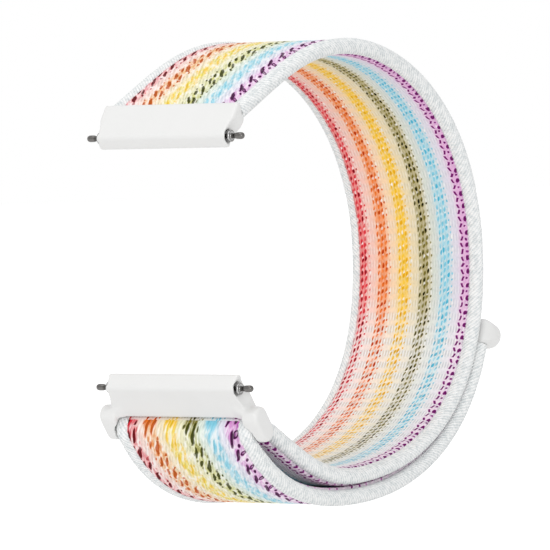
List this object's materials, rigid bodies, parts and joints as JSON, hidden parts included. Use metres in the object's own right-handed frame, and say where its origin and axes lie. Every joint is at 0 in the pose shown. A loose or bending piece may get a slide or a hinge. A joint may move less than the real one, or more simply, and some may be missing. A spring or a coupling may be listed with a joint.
{
  "type": "hook and loop watch strap",
  "caption": "Closed loop of striped woven ribbon with rolled white edges, end links on spring bars, a fold-back hook closure and a round pull tab.",
  "frame": {"origin": "midway between the axes of the two spring bars, where the watch's case centre would lie nearly", "axes": "+X along the spring bars, +Y from the watch towards the back of the wrist, +Z from the lower spring bar to the upper one"},
  "size_m": [0.0232, 0.0662, 0.0594],
  "materials": {
    "white_plastic": "satin",
    "striped_weave": "woven",
    "white_edging": "woven",
    "hook_tape": "matte",
    "polished_steel": "polished"
  },
  "bodies": {
    "band_upper": {"upper_end_link": "white_plastic", "band_upper_web": "striped_weave", "band_upper_left_edge": "white_edging", "band_upper_right_edge": "white_edging"},
    "upper_bar": {"upper_spring_bar_tube": "polished_steel", "upper_spring_bar_spring": "polished_steel"},
    "upper_left_tip": {"upper_spring_bar_left_tip": "polished_steel"},
    "upper_right_tip": {"upper_spring_bar_right_tip": "polished_steel"},
    "band_back": {"band_back_web": "striped_weave", "band_back_left_edge": "white_edging", "band_back_right_edge": "white_edging"},
    "band_lower": {"band_lower_web": "striped_weave", "band_lower_left_edge": "white_edging", "band_lower_right_edge": "white_edging"},
    "lower_link": {"lower_end_link": "white_plastic"},
    "lower_bar": {"lower_spring_bar_tube": "polished_steel", "lower_spring_bar_spring": "polished_steel"},
    "lower_left_tip": {"lower_spring_bar_left_tip": "polished_steel"},
    "lower_right_tip": {"lower_spring_bar_right_tip": "polished_steel"},
    "tail_root": {"tail_root_web": "striped_weave", "tail_root_left_edge": "white_edging", "tail_root_right_edge": "white_edging"},
    "tail_tip": {"tail_tip_web": "striped_weave", "tail_tip_left_edge": "white_edging", "tail_tip_right_edge": "white_edging", "hook_patch": "hook_tape", "end_tab": "white_plastic"}
  },
  "joints": [
    {"name": "crown_flex", "type": "hinge", "parent": "band_upper", "child": "band_back", "pos_m": [0, 0.0285, 0.0259], "axis": [1, 0, 0], "range_deg": [-10, 30], "stiffness_Nm_per_rad": 0.15},
    {"name": "back_flex", "type": "hinge", "parent": "band_back", "child": "band_lower", "pos_m": [0, 0.061, -0.0024], "axis": [1, 0, 0], "range_deg": [-10, 50], "stiffness_Nm_per_rad": 0.15},
    {"name": "link_swing", "type": "hinge", "parent": "band_lower", "child": "lower_link", "pos_m": [0, 0.00345, -0.02091], "axis": [1, 0, 0], "range_deg": [-25, 25]},
    {"name": "tail_swing", "type": "hinge", "parent": "band_lower", "child": "tail_root", "pos_m": [0, 0.00609, -0.02547], "axis": [-1, 0, 0], "range_deg": [0, 70]},
    {"name": "tail_peel", "type": "hinge", "parent": "tail_root", "child": "tail_tip", "pos_m": [0, 0.03308, -0.03133], "axis": [-1, 0, 0], "range_deg": [0, 60]},
    {"name": "upper_bar_spin", "type": "hinge", "parent": "band_upper", "child": "upper_bar", "pos_m": [0, 0, 0.0155], "axis": [1, 0, 0], "continuous": true},
    {"name": "lower_bar_spin", "type": "hinge", "parent": "lower_link", "child": "lower_bar", "pos_m": [0, 0, -0.0155], "axis": [1, 0, 0], "continuous": true},
    {"name": "upper_left_tip_press", "type": "slide", "parent": "upper_bar", "child": "upper_left_tip", "axis": [1, 0, 0], "range_m": [0, 0.0015], "stiffness_N_per_m": 150, "springref_m": -0.0006, "deforming": ["upper_spring_bar_spring"]},
    {"name": "upper_right_tip_press", "type": "slide", "parent": "upper_bar", "child": "upper_right_tip", "axis": [-1, 0, 0], "range_m": [0, 0.0015], "stiffness_N_per_m": 150, "springref_m": -0.0006, "deforming": ["upper_spring_bar_spring"]},
    {"name": "lower_left_tip_press", "type": "slide", "parent": "lower_bar", "child": "lower_left_tip", "axis": [1, 0, 0], "range_m": [0, 0.0015], "stiffness_N_per_m": 150, "springref_m": -0.0006, "deforming": ["lower_spring_bar_spring"]},
    {"name": "lower_right_tip_press", "type": "slide", "parent": "lower_bar", "child": "lower_right_tip", "axis": [-1, 0, 0], "range_m": [0, 0.0015], "stiffness_N_per_m": 150, "springref_m": -0.0006, "deforming": ["lower_spring_bar_spring"]}
  ]
}
